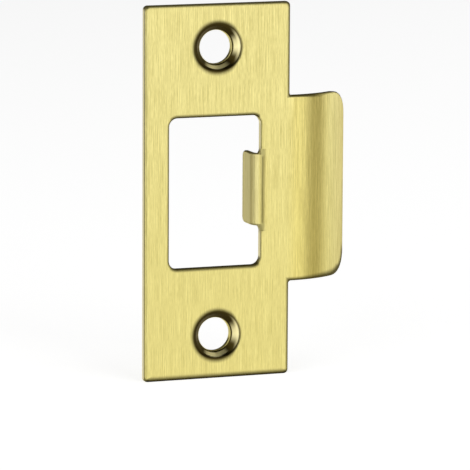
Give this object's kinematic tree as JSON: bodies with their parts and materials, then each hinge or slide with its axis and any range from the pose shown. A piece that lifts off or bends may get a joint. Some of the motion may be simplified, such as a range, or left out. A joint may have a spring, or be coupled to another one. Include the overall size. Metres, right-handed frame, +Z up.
{
  "type": "door strike plate",
  "caption": "Flat brass strike plate with a rectangular latch opening, a bent guide tab, a curved lip and countersunk screw holes.",
  "frame": {"origin": "midway between the two screw holes, on the back face that lies on the door frame", "axes": "+X across the plate towards the lip, +Y into the door frame behind the plate, +Z up along the plate's length"},
  "size_m": [0.0417, 0.0069, 0.07],
  "materials": {
    "brass": "satin, brushed along the plate's length"
  },
  "bodies": {
    "root": {"strike_plate": "brass"}
  },
  "joints": []
}
